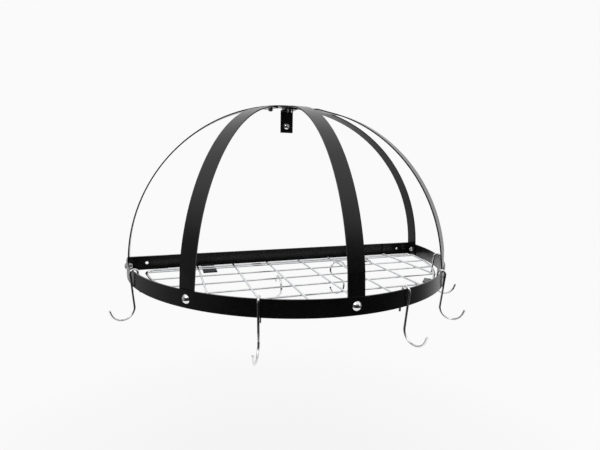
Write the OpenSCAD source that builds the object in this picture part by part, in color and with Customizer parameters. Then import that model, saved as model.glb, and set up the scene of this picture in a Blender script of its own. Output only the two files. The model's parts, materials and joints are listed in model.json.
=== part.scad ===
// Half-round wall pot rack: a flat-bar hoop with a wire grid in it, a dome of
// flat-bar ribs over it, and loose wire hooks on the hoop and on the grid.
// Millimetres, +Z up, +Y to the wall. The wall plane is y = 0, and the origin
// is midway between the two wall screw holes, at half the hoop's height.

/* [Bars] */
// Width of every flat bar
bar_w = 38.1; // [34:0.1:42]
// Thickness of every flat bar
bar_t = 3.2; // [2.6:0.1:4]
// Radius inside each bent corner of a bar
corner_r = 2; // [1:0.1:2.2]

/* [Hoop] */
// Outer radius of the half-round hoop
hoop_r = 457.2; // [420:0.1:500]
// Straight stretch of the hoop between its half circle and each back corner
side_straight = 3.6; // [2.5:0.1:30]
// Length of the tabs that the hoop turns along the wall bar
tab_len = 107; // [85:1:150]
// Distance of each wall screw hole from the outside of the hoop
screw_inset = 50.8; // [35:0.1:65]
// Diameter of the two wall screw holes
screw_hole_d = 8.5; // [6:0.1:10]

/* [Back arch] */
// Straight length of the arch's legs, from the hoop's bottom edge
arch_leg = 22; // [10:0.5:60]
// Half of the flat stretch at the arch's crown
arch_flat = 9.75; // [2:0.25:20]
// Clearance between the arch and the hoop's tabs
arch_gap = 0.55; // [0.3:0.05:2]

/* [Ribs] */
// Angle between the middle rib and each side rib, seen from above
rib_angle = 44.5; // [41:0.5:48]
// Distance of each side rib's upper bolt from the middle
tail_x = 57; // [50:0.5:80]
// How much smaller the ribs' bend radius is than the arch's
rib_tighter = 8.5; // [2:0.5:14]
// Length of each rib's end beyond its upper bolt
tail_end = 12; // [8:0.5:12]
// Length over which a rib turns from its flat upper end to its bend
tail_blend = 50; // [30:1:80]
// Length over which a rib turns from its foot to its bend
foot_blend = 45; // [30:1:80]

/* [Wall bracket] */
// Height of the wall bracket's leg
bracket_leg = 66; // [50:1:90]
// Distance of the bracket's screw above the leg's lower end
bracket_screw_up = 19; // [12:0.5:30]
// Length of the bracket's screw behind the wall plane
screw_reach = 30; // [20:1:50]
// Diameter of the bracket's screw
wall_screw_d = 5; // [4:0.1:6]

/* [Fasteners] */
// Diameter of the bolts at the ribs' feet
bolt_d = 6; // [5:0.1:8]
// Diameter of the domed bolt heads
head_d = 20; // [16:0.5:22]
// Height of the domed bolt heads
head_h = 5.5; // [4:0.1:7]
// Outer diameter of the washers inside the hoop
washer_d = 16; // [14:0.5:18]
// Thickness of the washers
washer_t = 1.2; // [0.8:0.1:2]
// Width across the flats of the nuts inside the hoop
foot_nut_af = 10; // [9.5:0.5:13]
// Height of the nuts inside the hoop
foot_nut_h = 5; // [4:0.1:6]
// Length of the bolts' thread beyond their nuts
bolt_end = 1; // [0.5:0.1:2]
// Diameter of the domed head of the bracket's screw
screw_head_d = 18; // [14:0.5:20]
// Height of that head
screw_head_h = 4.5; // [3:0.1:6]
// Diameter of the flat-head screws at the crown
crown_screw_d = 8; // [6:0.1:8]
// Diameter of their flat heads
crown_head_d = 14.4; // [13:0.1:16]
// Depth of their flat heads
crown_head_h = 2.4; // [1.6:0.1:2.4]
// Width across the flats of the hexagon nuts at the crown
nut_af = 13; // [11:0.5:15]
// Height of the hexagon nuts
nut_h = 6.5; // [5:0.1:8]

/* [Grid rests] */
// Distance of each rear rest from the middle
rear_rest_x = 240; // [150:1:300]
// Reach of the rear rests from the wall plane
rear_rest_reach = 85; // [60:1:130]
// Reach of the front rests from the inside of the hoop
front_rest_reach = 46; // [46:1:90]
// Height of the rests' upright legs
rest_up = 32; // [30:0.5:36]

/* [Grid] */
// Thickness of the grid's rim
rim_wire = 6.35; // [5.5:0.05:7.5]
// Thickness of the grid's wires
grid_wire = 4.8; // [4:0.1:5.4]
// Space between the hoop's outside and the middle of the grid's rim
grid_margin = 35.2; // [35:0.1:40]
// Distance of the rim's back wire from the wall plane
grid_back = 47; // [40:1:55]
// Radius of the rim's back corners
grid_corner = 25; // [15:1:40]
// How far the loose grid lies to the right of the middle
grid_offset = 12; // [0:0.5:12.5]
// Spacing of the wires that run front to back
cross_pitch = 100; // [80:1:105]
// How far the middle one lies to the right of the rim's middle
cross_shift = 16; // [0:0.5:18]
// Distance of the first wire that runs side to side from the wall plane
long_first = 68.3; // [62:0.1:80]
// Distance of the last one from the front of the rim
long_last = 16.5; // [12:0.5:40]

/* [Band hooks] */
// Thickness of the hooks' wire
hook_wire = 5; // [4:0.1:6]
// Bend radius over the hoop, to the middle of the wire
hook_bend = 9; // [8.6:0.1:11]
// Length of the outer leg
hook_leg = 81; // [60:1:100]
// Length of the inner leg
hook_back_leg = 50; // [30:1:60]
// Bend radius of the lower hook, to the middle of the wire
hook_throat = 27; // [20:0.5:35]
// Angle through which the lower hook turns
hook_turn = 165; // [130:1:175]
// Straight length of the lower hook's tip
hook_tip = 12; // [5:1:30]
// Lean of a hanging hook, its lower end towards the wall side of the band
hook_lean = 5; // [4:0.1:6]
// Place of the hook at the left side, in degrees from the front
hook_left = -71; // [-80:0.5:-52]
// Place of the hook at the front left
hook_front_left = -24.5; // [-36:0.5:-8]
// Place of the hook right of the middle rib
hook_front_right = 16.2; // [8:0.1:24]
// Angle between the right rib and the hook before it
hook_beside_rib = 4; // [2.8:0.1:12]
// Place of the hook at the right side
hook_right = 66; // [52:0.5:80]

/* [Grid hooks] */
// Bend radius of a grid hook's upper loop, to the middle of the wire
s_upper = 23.5; // [18:0.5:25]
// Bend radius of its lower loop
s_lower = 22; // [18:0.5:25]
// Distance between the middles of the two loops
s_drop = 52; // [51:0.5:80]
// Angle at which the upper loop ends, above level
s_open = 10; // [0:1:40]
// Distance of the left grid hook from the nearest crossing wire
left_hook_aside = 10; // [8:0.5:40]
// Distance of the right grid hook from the nearest crossing wire
right_hook_aside = 20; // [8:0.5:40]

/* [Fits] */
// Clearance round bolts in their holes
hole_gap = 0.25; // [0.1:0.05:0.5]
// Clearance of a nut's thread
thread_gap = 0.1; // [0.05:0.05:0.2]
// Clearance of a flat bar's edges inside the hoop
seat_gap = 0.05; // [0.02:0.01:0.2]
// Clearance between loose pieces and what carries them
rest_gap = 0.3; // [0.2:0.05:0.5]
// Clearance between crossing wires
wire_gap = 0.02; // [0.01:0.01:0.1]

/* [Hidden] */
$fn = 96;

paint = "#1d1d1f";
chrome = "#c9ccd1";
past = 1;            // how far a cutter runs past what it cuts
chamfer = 0.8;       // bevel at the ends of the hooks
blend_inset = 0.05;  // how much smaller a blend's ends are than the bar
blend_sink = 1;      // how far a blend's ends lie inside the bar
blend_cut = 0.01;    // thickness of the slices that a blend is stretched between
tail_clear = 3;      // room between the arch's edge and the start of a rib's blend
hook_swell = 0.04;   // how much thicker a hook's wire is where two stretches meet
rim_swell = 0.3;     // how much thicker the rim is at a weld
weld_length = 4;     // length of such a weld along the rim
foot_rise = 2;       // height of a rib's flat foot above the hoop
long_wires = 6;      // wires that run side to side
cross_wires = 7;     // wires that run front to back

// Levels and the hoop's plan
half_w = bar_w / 2;
z_bot = -half_w;
hoop_ri = hoop_r - bar_t;
corner_ro = corner_r + bar_t;
hoop_y = -(bar_t + corner_ro + side_straight);
tab_end_x = hoop_r - tab_len;
screw_x = hoop_r - screw_inset;
// Distance from the hoop's middle to the outer face of a flat bar seated in it
seat_r = sqrt(pow(hoop_ri, 2) - pow(half_w, 2)) - seat_gap;

// The back arch, in a plane that clears the hoop's tabs
arch_y = -(2 * bar_t + arch_gap + half_w);
leg_x = sqrt(pow(hoop_ri, 2) - pow(hoop_y - arch_y + half_w, 2)) - seat_gap;
arch_r = leg_x - arch_flat;
arch_ri = arch_r - bar_t;
arch_z = z_bot + arch_leg;
rib_r = arch_r - rib_tighter;
rib_mid = rib_r - bar_t / 2;
foot_h = bar_w + foot_rise;

// Tilt and height of the arch's lower face at a distance x from the middle
function arch_tilt(x) =
    abs(x) <= arch_flat ? 0 : sign(x) * asin((abs(x) - arch_flat) / arch_ri);
function arch_under(x) = arch_z + arch_ri * cos(arch_tilt(x));

// The ribs' upper ends follow the arch's lower face. A flat piece under such an end
// clears its bend by the bend's depth over half of the flat piece's width.
tail_ro = arch_ri - seat_gap;
tail_ri = tail_ro - bar_t;
flange_gap = seat_gap + pow(max(0, half_w - arch_flat), 2) / (2 * tail_ri);
nut_gap = seat_gap + pow(nut_af / cos(30) / 2, 2) / (2 * tail_ri);

// The washers at the arch's feet clear the start of its bend in the same way
arch_washer_gap = seat_gap + pow(max(0, washer_d / 2 - arch_z), 2) / (2 * arch_ri);

// Wall bracket, under the middle rib's end
flange_z = arch_z + tail_ri - flange_gap;
bracket_z = flange_z - bracket_leg + bracket_screw_up;

// Grid levels: the rim lies on the rests, the long wires' tops are level with
// the rim's, and the cross wires lie on both
rest_z = z_bot + bar_t;
rim_z = rest_z + rest_gap + rim_wire / 2;
grid_top = rim_z + rim_wire / 2;
long_z = grid_top - grid_wire / 2;
cross_z = grid_top + wire_gap + grid_wire / 2;
grid_r = hoop_r - grid_margin;
corner_y = -grid_back - grid_corner;
corner_x = sqrt(pow(grid_r - grid_corner, 2) - pow(hoop_y - corner_y, 2));
corner_a = atan2(hoop_y - corner_y, corner_x);
rim_in = rim_wire / 2 + wire_gap;
long_pitch = (grid_r - hoop_y - long_last - long_first) / (long_wires - 1);
function cross_x(n) = grid_offset + cross_shift + (n - (cross_wires + 1) / 2) * cross_pitch;
function long_y(n) = -long_first - (n - 1) * long_pitch;

// Front end of a wire that runs front to back at a distance x
function rim_front(x) = hoop_y - sqrt(pow(grid_r, 2) - pow(x - grid_offset, 2));

// Band hooks: the outer leg leans on the hoop's lower edge, the bend on its upper one
hook_n = [cos(hook_lean), -sin(hook_lean)];
hook_e = [sin(hook_lean), cos(hook_lean)];
hook_room = hook_bend - hook_wire / 2 - rest_gap;
hook_low = [0, z_bot] - hook_room * hook_n;
function hook_rise(corner) =
    let (a = hook_low - corner, b = a * hook_e)
    -b - sqrt(b * b - a * a + hook_room * hook_room);
hook_up = max(hook_rise([-bar_t, half_w]), hook_rise([0, half_w]));
hook_at = hook_low + hook_up * hook_e;

// Places: +X away from the hoop's middle at an angle from the front
module at_hoop(a) {
    translate([0, hoop_y, 0]) rotate([0, 0, a - 90]) children();
}

// Places: the arch's lower face at x, +Z square to it
module at_crown(x) {
    translate([x, arch_y, arch_under(x)]) rotate([0, arch_tilt(x), 0]) children();
}

// Both sides, the second one mirrored
module both_sides() {
    children();
    mirror([1, 0, 0]) children();
}

// A flat-bar angle: one leg up from the corner, one leg out along +X
module bent_bar(up, out) {
    linear_extrude(height = bar_w, center = true) {
        translate([0, corner_ro]) square([bar_t, up - corner_ro]);
        translate([corner_ro, 0]) square([out - corner_ro, bar_t]);
        translate([corner_ro, corner_ro]) intersection() {
            difference() {
                circle(r = corner_ro);
                circle(r = corner_r);
            }
            translate([-corner_ro, -corner_ro]) square(corner_ro);
        }
    }
}

// A round cap of a sphere standing on z = 0
module dome(d, h) {
    ball = (d * d / 4 + h * h) / (2 * h);
    intersection() {
        translate([0, 0, h - ball]) sphere(r = ball);
        translate([-d, -d, 0]) cube([2 * d, 2 * d, 2 * h]);
    }
}

// Holes for the bolts through the hoop and the bars' feet, along +X from the inside
module foot_hole(from, to) {
    translate([from, 0, 0]) rotate([0, 90, 0]) cylinder(d = bolt_d + 2 * hole_gap, h = to - from);
}

// --- Hoop and wall bar ---

module wall_bar() {
    color(paint) difference() {
        translate([-(hoop_r - corner_ro), -bar_t, z_bot])
            cube([2 * (hoop_r - corner_ro), bar_t, bar_w]);
        wall_screw_holes();
    }
}

module wall_screw_holes() {
    both_sides() translate([screw_x, past, 0]) rotate([90, 0, 0])
        cylinder(d = screw_hole_d, h = 2 * bar_t + 2 * past);
}

module hoop_band() {
    color(paint) difference() {
        union() {
            translate([0, hoop_y, z_bot]) rotate([0, 0, 180]) rotate_extrude(angle = 180, $fn = 360)
                translate([hoop_ri, 0]) square([bar_t, bar_w]);
            both_sides() hoop_corner();
        }
        wall_screw_holes();
        for (a = [-rib_angle, 0, rib_angle]) at_hoop(a) foot_hole(hoop_ri - past, hoop_r + past);
        both_sides() translate([0, arch_y, 0]) foot_hole(leg_x, hoop_r + past);
    }
}

module hoop_corner() {
    translate([hoop_ri, hoop_y, z_bot]) cube([bar_t, side_straight, bar_w]);
    translate([hoop_r - corner_ro, -bar_t - corner_ro, z_bot]) rotate_extrude(angle = 90)
        translate([corner_r, 0]) square([bar_t, bar_w]);
    translate([tab_end_x, -2 * bar_t, z_bot])
        cube([hoop_r - corner_ro - tab_end_x, bar_t, bar_w]);
}

// --- Dome ---

module back_arch() {
    color(paint) difference() {
        union() {
            both_sides() {
                translate([leg_x - bar_t, arch_y - half_w, z_bot]) cube([bar_t, bar_w, arch_leg]);
                translate([arch_flat, arch_y, arch_z]) rotate([90, 0, 0])
                    rotate_extrude(angle = 90, $fn = 360)
                    translate([arch_ri, -half_w]) square([bar_t, bar_w]);
            }
            translate([-arch_flat, arch_y - half_w, arch_z + arch_ri])
                cube([2 * arch_flat, bar_w, bar_t]);
        }
        both_sides() translate([0, arch_y, 0]) foot_hole(leg_x - bar_t - past, leg_x + past);
        for (x = [-tail_x, 0, tail_x]) at_crown(x) {
            translate([0, 0, -past]) cylinder(d = crown_screw_d + 2 * hole_gap, h = bar_t + 2 * past);
            translate([0, 0, bar_t - crown_head_h - hole_gap])
                cylinder(d1 = crown_screw_d + 2 * hole_gap, d2 = crown_head_d + 2 * hole_gap,
                    h = crown_head_h);
            translate([0, 0, bar_t - hole_gap]) cylinder(d = crown_head_d + 2 * hole_gap, h = past);
        }
    }
}

// One bar's thickness under the arch, wide enough for a rib's slanted end
module under_arch() {
    reach = 4 * bar_w;
    translate([0, arch_y, arch_z]) {
        both_sides() translate([arch_flat, 0, 0]) rotate([90, 0, 0])
            rotate_extrude(angle = 90, $fn = 360)
            translate([tail_ri, -reach / 2]) square([bar_t, reach]);
        translate([-arch_flat, -reach / 2, tail_ri]) cube([2 * arch_flat, reach, bar_t]);
    }
}

// A rib from its upper bolt at x under the arch to its foot in the hoop at angle a
module rib(x, a) {
    foot = [(seat_r - bar_t / 2) * sin(a), hoop_y - (seat_r - bar_t / 2) * cos(a)];
    run = foot - [x, arch_y];
    len = norm(run);
    heading = atan2(run.y, run.x);
    tail_front = half_w * (len + abs(run.x)) / abs(run.y) + tail_clear;
    slice_u = tail_front - blend_sink;
    slice_x = x + slice_u * cos(heading);
    mid_x = len - rib_mid;
    tail_z = arch_under(x) - (seat_gap + bar_t / 2) / cos(arch_tilt(x));
    mid_z = tail_z - sqrt(pow(rib_mid, 2) - pow(mid_x, 2));
    from_a = asin((z_bot + foot_h + foot_blend - mid_z) / rib_mid);
    to_a = acos((tail_front + tail_blend - mid_x) / rib_mid);

    color(paint) difference() {
        union() {
            intersection() {
                under_arch();
                translate([x, arch_y, arch_z]) rotate([0, 0, heading])
                    translate([-tail_end, -half_w, 0])
                    cube([tail_end + tail_front, bar_w, arch_r]);
            }
            hull() {
                at_crown(slice_x) translate([0, slice_u * sin(heading), -seat_gap - bar_t / 2])
                    rotate([0, 0, atan2(run.y * cos(arch_tilt(slice_x)), run.x)])
                    rotate([0, 90, 0]) bar_slice();
                translate([x, arch_y, 0]) rotate([0, 0, heading]) translate([mid_x, 0, mid_z])
                    rotate([0, -to_a, 0]) translate([rib_mid, 0, -blend_sink]) bar_slice();
            }
            translate([x, arch_y, 0]) rotate([0, 0, heading]) translate([mid_x, 0, mid_z])
                rotate([90, 0, 0]) rotate([0, 0, from_a])
                rotate_extrude(angle = to_a - from_a, $fn = 360)
                translate([rib_r - bar_t, -half_w]) square([bar_t, bar_w]);
            hull() {
                translate([x, arch_y, 0]) rotate([0, 0, heading]) translate([mid_x, 0, mid_z])
                    rotate([0, -from_a, 0]) translate([rib_mid, 0, blend_sink]) bar_slice();
                at_hoop(a) translate([seat_r - bar_t / 2, 0, z_bot + foot_h - blend_sink])
                    bar_slice();
            }
            at_hoop(a) translate([seat_r - bar_t, -half_w, z_bot]) cube([bar_t, bar_w, foot_h]);
        }
        at_hoop(a) foot_hole(seat_r - bar_t - past, seat_r + past);
        at_crown(x) translate([0, 0, -seat_gap - bar_t - past])
            cylinder(d = crown_screw_d + 2 * hole_gap, h = bar_t + 2 * past);
    }
}

// A thin slice square across a bar, thickness along X and width along Y
module bar_slice() {
    cube([bar_t - 2 * blend_inset, bar_w - 2 * blend_inset, blend_cut], center = true);
}

module left_rib() { rib(-tail_x, -rib_angle); }
module center_rib() { rib(0, 0); }
module right_rib() { rib(tail_x, rib_angle); }

// --- Wall bracket and fasteners ---

module wall_bracket() {
    color(paint) difference() {
        translate([0, 0, flange_z]) rotate([90, 0, -90]) mirror([0, 1, 0])
            bent_bar(bracket_leg, half_w - arch_y);
        translate([0, past, bracket_z]) rotate([90, 0, 0])
            cylinder(d = wall_screw_d + 4 * hole_gap, h = bar_t + 2 * past);
        translate([0, arch_y, flange_z - bar_t - past])
            cylinder(d = crown_screw_d + 2 * hole_gap, h = bar_t + 2 * past);
    }
}

// Domed head in front, a neck in the bracket, then the thread that goes into the wall
module bracket_screw() {
    color(chrome) translate([0, 0, bracket_z]) rotate([90, 0, 0]) {
        translate([0, 0, bar_t]) dome(screw_head_d, screw_head_h);
        cylinder(d = wall_screw_d + 2 * hole_gap, h = bar_t);
        translate([0, 0, -screw_reach]) cylinder(d = wall_screw_d, h = screw_reach);
        translate([0, 0, -screw_reach - wall_screw_d])
            cylinder(d1 = chamfer, d2 = wall_screw_d, h = wall_screw_d);
    }
}

// How much lies between the arch and a crown nut: a rib's end, and in the middle the
// bracket's flange
function crown_stack(x) = seat_gap + bar_t + (x == 0 ? flange_gap + bar_t : nut_gap);

module crown_screws() {
    color(paint) for (x = [-tail_x, 0, tail_x]) at_crown(x) {
        top = bar_t - hole_gap;
        translate([0, 0, top - crown_head_h])
            cylinder(d1 = crown_screw_d, d2 = crown_head_d, h = crown_head_h);
        translate([0, 0, -crown_stack(x) - nut_h - past])
            cylinder(d = crown_screw_d, h = crown_stack(x) + nut_h + past + top);
    }
}

module crown_nuts() {
    color(chrome) for (x = [-tail_x, 0, tail_x]) at_crown(x)
        translate([0, 0, -crown_stack(x) - nut_h]) difference() {
            cylinder(d = nut_af / cos(30), h = nut_h, $fn = 6);
            translate([0, 0, -past])
                cylinder(d = crown_screw_d + 2 * thread_gap, h = nut_h + 2 * past);
        }
}

// The five feet: both legs of the arch, then the three ribs.
// +X points out of the hoop, and x = 0 is its outside.
module at_feet_of_arch() {
    for (side = [0, 180]) rotate([0, 0, side])
        translate([hoop_r, side == 0 ? arch_y : -arch_y, 0]) children();
}

module at_foot(a) {
    at_hoop(a) translate([hoop_r, 0, 0]) children();
}

// Depth from the hoop's outside to the face that each washer lies on
arch_grip = hoop_r - leg_x + bar_t + arch_washer_gap;
rib_grip = hoop_r - seat_r + bar_t + seat_gap;
rest_grip = rib_grip + bar_t;

module foot_bolts() {
    color(chrome) {
        at_feet_of_arch() foot_bolt(arch_grip);
        at_foot(0) foot_bolt(rib_grip);
        for (a = [-rib_angle, rib_angle]) at_foot(a) foot_bolt(rest_grip);
    }
}

module foot_bolt(grip) {
    rotate([0, 90, 0]) dome(head_d, head_h);
    rotate([0, -90, 0]) cylinder(d = bolt_d, h = grip + washer_t + foot_nut_h + bolt_end);
}

module foot_washers() {
    color(chrome) {
        at_feet_of_arch() foot_washer(arch_grip);
        at_foot(0) foot_washer(rib_grip);
        for (a = [-rib_angle, rib_angle]) at_foot(a) foot_washer(rest_grip);
    }
}

module foot_washer(grip) {
    translate([-grip, 0, 0]) rotate([0, -90, 0]) difference() {
        cylinder(d = washer_d, h = washer_t);
        translate([0, 0, -past]) cylinder(d = bolt_d + 2 * hole_gap, h = washer_t + 2 * past);
    }
}

module foot_nuts() {
    color(chrome) {
        at_feet_of_arch() foot_nut(arch_grip);
        at_foot(0) foot_nut(rib_grip);
        for (a = [-rib_angle, rib_angle]) at_foot(a) foot_nut(rest_grip);
    }
}

module foot_nut(grip) {
    translate([-grip - washer_t, 0, 0]) rotate([0, -90, 0]) difference() {
        cylinder(d = foot_nut_af / cos(30), h = foot_nut_h, $fn = 6);
        translate([0, 0, -past])
            cylinder(d = bolt_d + 2 * thread_gap, h = foot_nut_h + 2 * past);
    }
}

// --- Grid rests ---

module rear_rest() {
    color(paint) translate([rear_rest_x, -bar_t, z_bot]) rotate([90, 0, -90])
        bent_bar(rest_up, rear_rest_reach - bar_t);
}

module left_rear_rest() { mirror([1, 0, 0]) rear_rest(); }
module right_rear_rest() { rear_rest(); }

module front_rest(a) {
    color(paint) at_hoop(a) difference() {
        translate([seat_r - bar_t, 0, z_bot]) rotate([90, 0, 180])
            bent_bar(rest_up, seat_r - bar_t - hoop_ri + front_rest_reach);
        foot_hole(seat_r - 2 * bar_t - past, seat_r);
    }
}

module left_front_rest() { front_rest(-rib_angle); }
module right_front_rest() { front_rest(rib_angle); }

// --- Grid ---

// A round bent wire in the XY plane about the origin
module wire_arc(r, wire, from, turn) {
    rotate([0, 0, from]) rotate_extrude(angle = turn, $fn = 180)
        translate([r, 0]) circle(d = wire, $fn = 32);
}

// A straight round wire along +Y
module wire_rod(wire, length) {
    rotate([-90, 0, 0]) cylinder(d = wire, h = length, $fn = 32);
}

// A ball, hardly thicker than a hook's wire, where a bend meets the next stretch
module hook_joint() {
    sphere(d = hook_wire + hook_swell, $fn = 32);
}

// A weld bead round the rim, along +Y, where a bend meets the next stretch
module rim_weld() {
    translate([0, -weld_length / 2, 0]) wire_rod(rim_wire + rim_swell, weld_length);
}

// D-shaped rim: a front arc, two rounded corners and a straight back wire
module grid_rim() {
    color(chrome) translate([grid_offset, 0, rim_z]) {
        translate([0, hoop_y, 0])
            wire_arc(grid_r, rim_wire, 180 + corner_a, 180 - 2 * corner_a);
        both_sides() {
            translate([corner_x, corner_y, 0]) {
                wire_arc(grid_corner, rim_wire, -corner_a, 90 + corner_a);
                rotate([0, 0, -corner_a]) translate([grid_corner, 0, 0]) rim_weld();
            }
            translate([corner_x, -grid_back, 0]) rotate([0, 0, 90]) rim_weld();
        }
        translate([corner_x, -grid_back, 0]) rotate([0, 0, 90]) wire_rod(rim_wire, 2 * corner_x);
    }
}

// The room inside the rim: its front arc below the joints, its corners above them
module inside_rim() {
    joint_y = corner_y - grid_corner * sin(corner_a);
    intersection() {
        translate([0, hoop_y, 0]) cylinder(r = grid_r - rim_in, h = 2 * grid_wire, $fn = 360);
        union() {
            translate([-grid_r, hoop_y - grid_r, 0])
                cube([2 * grid_r, joint_y - hoop_y + grid_r, 2 * grid_wire]);
            both_sides() translate([corner_x, corner_y, 0])
                cylinder(r = grid_corner - rim_in, h = 2 * grid_wire);
            translate([-corner_x, joint_y, 0])
                cube([2 * corner_x, -grid_back - rim_in - joint_y, 2 * grid_wire]);
        }
    }
}

// A side-to-side wire, cut to the inside of the rim
module long_wire(n) {
    color(chrome) intersection() {
        translate([grid_offset + grid_r, long_y(n), long_z]) rotate([0, 0, 90])
            wire_rod(grid_wire, 2 * grid_r);
        translate([grid_offset, 0, long_z - grid_wire]) inside_rim();
    }
}

// A front-to-back wire, on top of the others, from over the back wire to over the front
module cross_wire(n) {
    back = -grid_back + rim_wire / 2;
    front = rim_front(cross_x(n)) - rim_wire / 2;
    color(chrome) translate([cross_x(n), front, cross_z]) wire_rod(grid_wire, back - front);
}

module grid_long_wire_1() { long_wire(1); }
module grid_long_wire_2() { long_wire(2); }
module grid_long_wire_3() { long_wire(3); }
module grid_long_wire_4() { long_wire(4); }
module grid_long_wire_5() { long_wire(5); }
module grid_long_wire_6() { long_wire(6); }
module grid_cross_wire_1() { cross_wire(1); }
module grid_cross_wire_2() { cross_wire(2); }
module grid_cross_wire_3() { cross_wire(3); }
module grid_cross_wire_4() { cross_wire(4); }
module grid_cross_wire_5() { cross_wire(5); }
module grid_cross_wire_6() { cross_wire(6); }
module grid_cross_wire_7() { cross_wire(7); }

// --- Hooks ---

// A hook in the XY plane, its upper bend about the origin, its open end to +X
module hook_shape() {
    wire_arc(hook_bend, hook_wire, 0, 180);
    translate([-hook_bend, -hook_back_leg, 0]) {
        wire_rod(hook_wire, hook_back_leg);
        rotate([0, 0, 180]) wire_end();
    }
    translate([hook_bend, -hook_leg, 0]) wire_rod(hook_wire, hook_leg);
    translate([hook_bend + hook_throat, -hook_leg, 0]) {
        wire_arc(hook_throat, hook_wire, 180, hook_turn);
        rotate([0, 0, 180 + hook_turn]) translate([hook_throat, 0, 0]) {
            hook_joint();
            wire_rod(hook_wire, hook_tip);
            translate([0, hook_tip, 0]) wire_end();
        }
    }
}

// The bevelled end of a hook's wire, along +Y
module wire_end() {
    rotate([-90, 0, 0])
        cylinder(d1 = hook_wire, d2 = hook_wire - 2 * chamfer, h = chamfer, $fn = 32);
}

module band_hook(a) {
    color(chrome) at_foot(a) translate([hook_at.x, 0, hook_at.y])
        rotate([90, 0, 0]) rotate([0, 0, -hook_lean]) hook_shape();
}

module left_side_hook() { band_hook(hook_left); }
module front_left_hook() { band_hook(hook_front_left); }
module front_right_hook() { band_hook(hook_front_right); }
module right_hook() { band_hook(rib_angle - hook_beside_rib); }
module right_side_hook() { band_hook(hook_right); }

// An S in the XY plane, hung over a wire that runs through the origin along Z
module grid_hook() {
    slant = asin((s_upper + s_lower) / s_drop);
    straight = s_drop * cos(slant);
    color(chrome) translate([0, grid_wire / 2 + rest_gap + hook_wire / 2 - s_upper, 0]) {
        wire_arc(s_upper, hook_wire, s_open, 180 + slant - s_open);
        rotate([0, 0, s_open]) translate([s_upper, 0, 0]) rotate([0, 0, 180]) wire_end();
        rotate([0, 0, 180 + slant]) translate([s_upper, 0, 0]) {
            hook_joint();
            wire_rod(hook_wire, straight);
            translate([0, straight, 0]) hook_joint();
        }
        translate([0, -s_drop, 0]) {
            wire_arc(s_lower, hook_wire, 180, 180 + slant);
            translate([-s_lower, 0, 0]) wire_end();
        }
    }
}

module left_grid_hook() {
    translate([cross_x(3) - left_hook_aside, long_y(3), long_z])
        rotate([90, 0, 90]) grid_hook();
}

module right_grid_hook() {
    translate([cross_x(5), long_y(2) + right_hook_aside, cross_z])
        rotate([90, 0, 0]) grid_hook();
}

wall_bar();
hoop_band();
back_arch();
left_rib();
center_rib();
right_rib();
wall_bracket();
bracket_screw();
crown_screws();
crown_nuts();
foot_bolts();
foot_washers();
foot_nuts();
left_rear_rest();
right_rear_rest();
left_front_rest();
right_front_rest();
grid_rim();
grid_long_wire_1();
grid_long_wire_2();
grid_long_wire_3();
grid_long_wire_4();
grid_long_wire_5();
grid_long_wire_6();
grid_cross_wire_1();
grid_cross_wire_2();
grid_cross_wire_3();
grid_cross_wire_4();
grid_cross_wire_5();
grid_cross_wire_6();
grid_cross_wire_7();
left_side_hook();
front_left_hook();
front_right_hook();
right_hook();
right_side_hook();
left_grid_hook();
right_grid_hook();
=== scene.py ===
import json
import math
import bmesh
import bpy
from mathutils import Matrix, Vector

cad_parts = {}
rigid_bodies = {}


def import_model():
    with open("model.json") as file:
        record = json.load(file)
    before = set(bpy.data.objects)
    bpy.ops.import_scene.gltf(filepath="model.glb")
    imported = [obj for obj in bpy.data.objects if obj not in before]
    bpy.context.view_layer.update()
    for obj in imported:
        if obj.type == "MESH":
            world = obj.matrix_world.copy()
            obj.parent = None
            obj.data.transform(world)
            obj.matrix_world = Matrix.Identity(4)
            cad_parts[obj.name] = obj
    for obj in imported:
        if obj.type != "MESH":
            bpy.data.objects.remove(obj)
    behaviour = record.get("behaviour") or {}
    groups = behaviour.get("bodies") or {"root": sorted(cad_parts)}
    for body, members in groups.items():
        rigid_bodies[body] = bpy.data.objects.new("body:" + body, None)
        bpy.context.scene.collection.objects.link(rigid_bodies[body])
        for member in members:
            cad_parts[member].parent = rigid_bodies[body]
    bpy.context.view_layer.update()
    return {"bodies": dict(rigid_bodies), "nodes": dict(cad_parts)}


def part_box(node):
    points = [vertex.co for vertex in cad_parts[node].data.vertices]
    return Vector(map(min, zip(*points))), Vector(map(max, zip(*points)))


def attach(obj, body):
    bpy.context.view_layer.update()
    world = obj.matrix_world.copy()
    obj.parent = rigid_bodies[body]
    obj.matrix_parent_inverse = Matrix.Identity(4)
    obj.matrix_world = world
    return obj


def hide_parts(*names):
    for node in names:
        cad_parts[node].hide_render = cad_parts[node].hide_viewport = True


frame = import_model()
NODES = frame["nodes"]
BODY_OF = {}
for body_name, empty in frame["bodies"].items():
    for child in empty.children:
        BODY_OF[child.name] = body_name

# The photograph's frame, in pixels, and the camera that took it, in metres and degrees
PHOTO_W, PHOTO_H = 600.0, 450.0
CAMERA_AT = Vector((-0.35708, -1.09962, 0.26431))
CAMERA_YAW, CAMERA_PITCH, CAMERA_ROLL = 17.966, 8.010, 0.860
FOCAL_PX, CENTRE_X_PX, CENTRE_Y_PX = 375.77, 284.80, 222.50
SENSOR_MM = 36.0

# Which pieces take which finish
PAINTED = ["wall_bar", "hoop_band", "back_arch", "left_rib", "center_rib", "right_rib",
           "wall_bracket", "left_rear_rest", "right_rear_rest", "left_front_rest",
           "right_front_rest"]
GRID = [n for n in NODES if n.startswith("grid_")]
HOOKS = [n for n in NODES if n.endswith("_hook")]
FASTENERS = ["foot_bolts", "foot_washers", "foot_nuts", "crown_nuts", "bracket_screw"]

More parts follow.
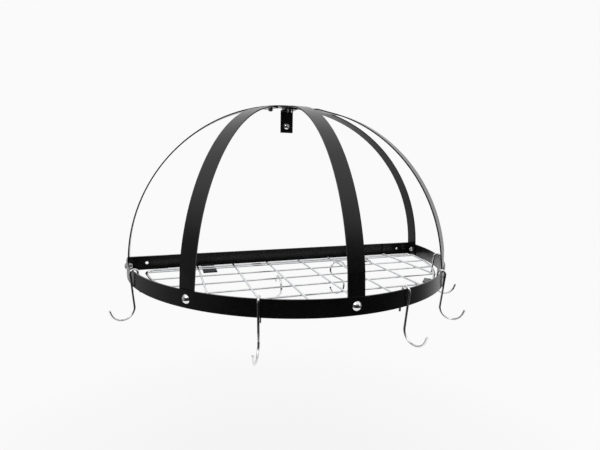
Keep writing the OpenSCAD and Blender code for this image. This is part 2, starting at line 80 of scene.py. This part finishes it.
# Shapes, in metres and degrees
EASED_EDGE = 0.0004         # the radius that the coat leaves on a bar's edges
REAL_EDGE = 40.0            # edges sharper than this are eased
SMOOTH_UNDER = 35.0         # edges blunter than this are shaded smooth
FLAT_WITHIN = 0.4           # faces closer to flat than this become one
SAME_POINT = 1e-6
FLAT_FACE_WEIGHT = 80       # how far large faces steer the normals
BEAD_WIDTH, BEAD_HEIGHT = 0.45, 0.16    # a weld bead's half sizes, of the wire's diameter

# The black coat. A noise's scale is in cells per metre, a ramp's stops are (place, value).
FILM_SCALE, GLOSS_SCALE, PEEL_SCALE, WAVE_SCALE = 38.0, 90.0, 900.0, 140.0
COAT_DARK = (0.0022, 0.0022, 0.0023, 1.0)
COAT_DUSTY = (0.0042, 0.0042, 0.0041, 1.0)
COAT_GLOSS = [(0.25, 0.25), (0.75, 0.32)]
COAT_IOR, COAT_WEIGHT, COAT_ROUGHNESS = 1.45, 0.12, 0.14
PEEL_SHARE = 0.35           # of the fine peel, beside the broad waves
PEEL_DEPTH, PEEL_STRENGTH = 0.00012, 0.22

# The plating
HAZE_SCALE, POLISH_SCALE, PLATING_SCALE = 55.0, 110.0, 160.0
PLATING_DEPTH, PLATING_STRENGTH = 0.00002, 0.05
HAZE_ROUGHNESS = 0.05       # how much rougher its haze is than its polish

# The studio, in linear light
BACKGROUND = 0.955          # the photograph's near-white
ROOM = 0.020                # the dark side of the studio, behind the camera
WHITE = (BACKGROUND, BACKGROUND, BACKGROUND, 1.0)
TURN_RIGHT = 0.26           # how far the white behind the rack reaches round to the right
BEHIND = [(0.42, ROOM), (0.70, 0.20), (0.84, 0.75), (0.95, BACKGROUND)]     # front to back
WINDOW = [(0.42, 0.0), (0.62, 0.12), (0.86, 0.23), (0.96, 0.38)]            # right to left
WINDOW_LEFT, WINDOW_BACK = -0.9, 0.35       # the window's direction, as shares of X and Y
BELOW = [(0.25, 0.22), (0.37, 1.0)]         # the walls' share of light, from the nadir up
OVERHEAD = [(0.62, 0.0), (0.86, 1.0)]       # the white ceiling's share, up to the zenith
FLOOR_RADIUS, FLOOR_DROP = 2.0, 1.2
FLOOR_PALE = (0.8, 0.8, 0.8, 1.0)
FLOOR_FADE = [(0.35, 0.80), (0.97, 1.0)]
LAMPS_AIM = (0.0, -0.2, 0.15)
MIX_FIRST, MIX_SECOND, MIX_RESULT = 6, 7, 2     # the colour sockets of a mix node


# --- Material nodes ---

class Graph:
    """The nodes of a material or of the world, and the few ways in which they are joined."""

    def __init__(self, tree):
        self.tree = tree
        tree.nodes.clear()

    def add(self, kind, **settings):
        node = self.tree.nodes.new(kind)
        for key, value in settings.items():
            setattr(node, key, value)
        return node

    def link(self, out, to):
        self.tree.links.new(out, to)

    def ramp(self, source, stops):
        node = self.add("ShaderNodeValToRGB")
        elements = node.color_ramp.elements
        while len(elements) < len(stops):
            elements.new(0.5)
        for element, (place, level) in zip(elements, stops):
            element.position = place
            element.color = level if isinstance(level, tuple) else (level, level, level, 1.0)
        self.link(source, node.inputs["Fac"])
        return node.outputs["Color"]

    def noise(self, where, scale, detail=2.0, roughness=0.5):
        node = self.add("ShaderNodeTexNoise")
        node.inputs["Scale"].default_value = scale
        node.inputs["Detail"].default_value = detail
        node.inputs["Roughness"].default_value = roughness
        self.link(where, node.inputs["Vector"])
        return node.outputs["Fac"]

    def math(self, operation, *terms):
        node = self.add("ShaderNodeMath", operation=operation)
        for socket, term in zip(node.inputs, terms):
            if isinstance(term, (int, float)):
                socket.default_value = term
            else:
                self.link(term, socket)
        return node.outputs["Value"]

    def seen_by(self, *rays):
        """One for the kinds of ray named, and nothing for the others."""
        path = self.add("ShaderNodeLightPath")
        seen = path.outputs[rays[0]]
        for ray in rays[1:]:
            seen = self.math("MAXIMUM", seen, path.outputs[ray])
        return seen

    def mix_shaders(self, share, first, second, out):
        mix = self.add("ShaderNodeMixShader")
        self.link(share, mix.inputs["Fac"])
        self.link(first, mix.inputs[1])
        self.link(second, mix.inputs[2])
        self.link(mix.outputs["Shader"], out.inputs["Surface"])

    def bump(self, shader, height, distance, strength):
        node = self.add("ShaderNodeBump")
        node.inputs["Strength"].default_value = strength
        node.inputs["Distance"].default_value = distance
        self.link(height, node.inputs["Height"])
        self.link(node.outputs["Normal"], shader.inputs["Normal"])


def new_material(name):
    material = bpy.data.materials.new(name)
    material.use_nodes = True
    graph = Graph(material.node_tree)
    out = graph.add("ShaderNodeOutputMaterial")
    shader = graph.add("ShaderNodeBsdfPrincipled")
    graph.link(shader.outputs["BSDF"], out.inputs["Surface"])
    where = graph.add("ShaderNodeTexCoord").outputs["Object"]
    return material, graph, shader, where


def black_paint():
    """Semi-gloss black powder coat: fine orange peel, slightly uneven gloss, a little dust."""
    material, graph, shader, where = new_material("black_powder_coat")
    shader.inputs["Metallic"].default_value = 0.0
    shader.inputs["IOR"].default_value = COAT_IOR
    shader.inputs["Coat Weight"].default_value = COAT_WEIGHT
    shader.inputs["Coat Roughness"].default_value = COAT_ROUGHNESS
    colour = graph.ramp(graph.noise(where, FILM_SCALE, 4.0, 0.6),
                        [(0.3, COAT_DARK), (0.7, COAT_DUSTY)])
    graph.link(colour, shader.inputs["Base Color"])
    gloss = graph.ramp(graph.noise(where, GLOSS_SCALE, 3.0), COAT_GLOSS)
    graph.link(gloss, shader.inputs["Roughness"])
    peel = graph.noise(where, PEEL_SCALE, 2.0, 0.55)
    waves = graph.noise(where, WAVE_SCALE)
    height = graph.math("ADD", graph.math("MULTIPLY", peel, PEEL_SHARE), waves)
    graph.bump(shader, height, PEEL_DEPTH, PEEL_STRENGTH)
    return material


def chrome(name, tint, polish, wear):
    """Bright plating: a clear polish with a faint handling haze and slight waves."""
    material, graph, shader, where = new_material(name)
    shader.inputs["Metallic"].default_value = 1.0
    dim = tuple(channel * wear for channel in tint)
    colour = graph.ramp(graph.noise(where, HAZE_SCALE, 4.0, 0.6),
                        [(0.35, dim + (1.0,)), (0.65, tint + (1.0,))])
    graph.link(colour, shader.inputs["Base Color"])
    gloss = graph.ramp(graph.noise(where, POLISH_SCALE, 3.0),
                       [(0.3, polish), (0.75, polish + HAZE_ROUGHNESS)])
    graph.link(gloss, shader.inputs["Roughness"])
    graph.bump(shader, graph.noise(where, PLATING_SCALE), PLATING_DEPTH, PLATING_STRENGTH)
    return material


# --- Pieces ---

def put_in_scene(name, data):
    obj = bpy.data.objects.new(name, data)
    bpy.context.scene.collection.objects.link(obj)
    return obj


def mesh_of(work, name):
    mesh = bpy.data.meshes.new(name)
    work.to_mesh(mesh)
    work.free()
    return mesh


def assign(obj, material):
    obj.data.materials.clear()
    obj.data.materials.append(material)


def shade_smooth(obj):
    """Smooth normals inside each face strip, sharp ones across real edges."""
    mesh = obj.data
    mesh.polygons.foreach_set("use_smooth", [True] * len(mesh.polygons))
    mesh.set_sharp_from_angle(angle=math.radians(SMOOTH_UNDER))


def rounded_copy(node, material):
    """A painted bar with its edges eased, as the coat leaves them."""
    name = node + "_bar"
    work = bmesh.new()
    work.from_mesh(NODES[node].data)
    bmesh.ops.remove_doubles(work, verts=work.verts, dist=SAME_POINT)
    bmesh.ops.dissolve_limit(work, angle_limit=math.radians(FLAT_WITHIN), verts=work.verts,
                             edges=work.edges, use_dissolve_boundaries=False)
    piece = put_in_scene(name, mesh_of(work, name))
    ease = piece.modifiers.new("ease", "BEVEL")
    ease.width = EASED_EDGE
    ease.segments = 2
    ease.limit_method = "ANGLE"
    ease.angle_limit = math.radians(REAL_EDGE)
    ease.use_clamp_overlap = True
    even = piece.modifiers.new("even", "WEIGHTED_NORMAL")
    even.keep_sharp = True
    even.weight = FLAT_FACE_WEIGHT
    shade_smooth(piece)
    evaluated = piece.evaluated_get(bpy.context.evaluated_depsgraph_get())
    piece.data = bpy.data.meshes.new_from_object(evaluated)
    piece.modifiers.clear()
    piece.data.name = name
    assign(piece, material)
    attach(piece, BODY_OF[node])
    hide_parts(node)


def weld_beads(material):
    """The small fused lumps where the grid's wires cross."""
    cross = [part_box(n) for n in GRID if n.startswith("grid_cross_wire")]
    along = [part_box(n) for n in GRID if n.startswith("grid_long_wire")]
    wire = cross[0][1].x - cross[0][0].x
    size = Matrix.Diagonal((BEAD_WIDTH * wire, BEAD_WIDTH * wire, BEAD_HEIGHT * wire, 1.0))
    work = bmesh.new()
    for low, high in cross:
        x = (low.x + high.x) / 2
        for other_low, other_high in along:
            y = (other_low.y + other_high.y) / 2
            if other_low.x < x < other_high.x and low.y < y < high.y:
                place = Matrix.Translation((x, y, other_high.z))
                bmesh.ops.create_uvsphere(work, u_segments=16, v_segments=8, radius=1.0,
                                          matrix=place @ size)
    beads = put_in_scene("grid_weld_beads", mesh_of(work, "grid_weld_beads"))
    shade_smooth(beads)
    assign(beads, material)
    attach(beads, "grid")


# --- Room ---

def camera():
    yaw, pitch, roll = (math.radians(a) for a in (CAMERA_YAW, CAMERA_PITCH, CAMERA_ROLL))
    ahead = Vector((math.sin(yaw) * math.cos(pitch), math.cos(yaw) * math.cos(pitch),
                    -math.sin(pitch)))
    level = Vector((math.cos(yaw), -math.sin(yaw), 0.0))
    above = level.cross(ahead)
    right = math.cos(roll) * level + math.sin(roll) * above
    up = -math.sin(roll) * level + math.cos(roll) * above
    data = bpy.data.cameras.new("camera")
    data.sensor_width = SENSOR_MM
    data.lens = SENSOR_MM * FOCAL_PX / PHOTO_W
    data.shift_x = (PHOTO_W / 2 - CENTRE_X_PX) / PHOTO_W
    data.shift_y = (CENTRE_Y_PX - PHOTO_H / 2) / PHOTO_W
    data.clip_start = 0.01
    data.clip_end = 100.0
    obj = put_in_scene("camera", data)
    turn = Matrix((right, up, -ahead)).transposed().to_4x4()
    obj.matrix_world = Matrix.Translation(CAMERA_AT) @ turn
    bpy.context.scene.camera = obj


def floor():
    """A pale floor well below the rack, which hangs on a wall. For the eye, for gloss and
    for glass it runs out into the white, and it lights the rack as the pale floor it is."""
    work = bmesh.new()
    bmesh.ops.create_circle(work, cap_ends=True, segments=96, radius=FLOOR_RADIUS)
    obj = put_in_scene("floor", mesh_of(work, "floor"))
    obj.location = (0.0, 0.0, -FLOOR_DROP)
    material = bpy.data.materials.new("floor")
    material.use_nodes = True
    graph = Graph(material.node_tree)
    out = graph.add("ShaderNodeOutputMaterial")
    pale = graph.add("ShaderNodeBsdfDiffuse")
    pale.inputs["Color"].default_value = FLOOR_PALE
    white = graph.add("ShaderNodeEmission")
    white.inputs["Color"].default_value = WHITE
    from_middle = graph.add("ShaderNodeVectorMath", operation="LENGTH")
    graph.link(graph.add("ShaderNodeTexCoord").outputs["Object"], from_middle.inputs[0])
    fade = graph.ramp(graph.math("DIVIDE", from_middle.outputs["Value"], FLOOR_RADIUS), FLOOR_FADE)
    seen = graph.seen_by("Is Camera Ray", "Is Glossy Ray", "Is Transmission Ray")
    graph.mix_shaders(graph.math("MULTIPLY", seen, fade), pale.outputs["BSDF"],
                      white.outputs["Emission"], out)
    obj.data.materials.append(material)


def world():
    """White behind the object. What metal and gloss see is a studio: white behind and
    overhead, a dim window on the left, less light from below, and a dark room on the side
    that the photograph is taken from."""
    scene_world = bpy.data.worlds.new("studio")
    scene_world.use_nodes = True
    bpy.context.scene.world = scene_world
    graph = Graph(scene_world.node_tree)
    out = graph.add("ShaderNodeOutputWorld")
    back = graph.add("ShaderNodeBackground")
    back.inputs["Color"].default_value = WHITE
    light = graph.add("ShaderNodeBackground")
    split = graph.add("ShaderNodeSeparateXYZ")
    graph.link(graph.add("ShaderNodeTexCoord").outputs["Generated"], split.inputs["Vector"])
    x, y, z = (split.outputs[axis] for axis in "XYZ")
    depth = graph.math("MULTIPLY_ADD", y, 0.5, 0.5)
    height = graph.math("MULTIPLY_ADD", z, 0.5, 0.5)
    to_the_right = graph.math("ADD", depth, graph.math("MULTIPLY", x, TURN_RIGHT))
    to_the_left = graph.math("ADD", graph.math("MULTIPLY", x, WINDOW_LEFT),
                             graph.math("MULTIPLY", y, WINDOW_BACK))
    wall = graph.math("MAXIMUM", graph.ramp(to_the_right, BEHIND), graph.ramp(to_the_left, WINDOW))
    studio = graph.add("ShaderNodeMix", data_type="RGBA", blend_type="MIX")
    graph.link(graph.ramp(height, OVERHEAD), studio.inputs["Factor"])
    graph.link(graph.math("MULTIPLY", wall, graph.ramp(height, BELOW)), studio.inputs[MIX_FIRST])
    studio.inputs[MIX_SECOND].default_value = WHITE
    graph.link(studio.outputs[MIX_RESULT], light.inputs["Color"])
    graph.mix_shaders(graph.seen_by("Is Camera Ray", "Is Transmission Ray"),
                      light.outputs["Background"], back.outputs["Background"], out)


def lamp(name, at, size, power):
    data = bpy.data.lights.new(name, "AREA")
    data.shape = "SQUARE"
    data.size = size
    data.energy = power
    obj = put_in_scene(name, data)
    obj.location = at
    aim = Vector(LAMPS_AIM) - Vector(at)
    obj.rotation_euler = aim.to_track_quat("-Z", "Y").to_euler()


# --- Build ---

bpy.context.scene.view_settings.view_transform = "Standard"
camera()
world()
floor()
lamp("key", at=(-1.6, -1.8, 1.9), size=1.4, power=14.0)
lamp("fill", at=(1.9, -1.6, 0.7), size=1.6, power=6.0)

PAINT = black_paint()
WIRE_CHROME = chrome("grid_chrome", tint=(0.88, 0.89, 0.91), polish=0.06, wear=0.88)
HOOK_CHROME = chrome("hook_chrome", tint=(0.86, 0.86, 0.87), polish=0.09, wear=0.90)
BOLT_CHROME = chrome("bolt_chrome", tint=(0.88, 0.88, 0.89), polish=0.04, wear=0.92)

for painted in PAINTED:
    rounded_copy(painted, PAINT)

assign(NODES["crown_screws"], PAINT)
for names, finish in ((GRID, WIRE_CHROME), (HOOKS, HOOK_CHROME), (FASTENERS, BOLT_CHROME)):
    for name in names:
        assign(NODES[name], finish)
weld_beads(WIRE_CHROME)
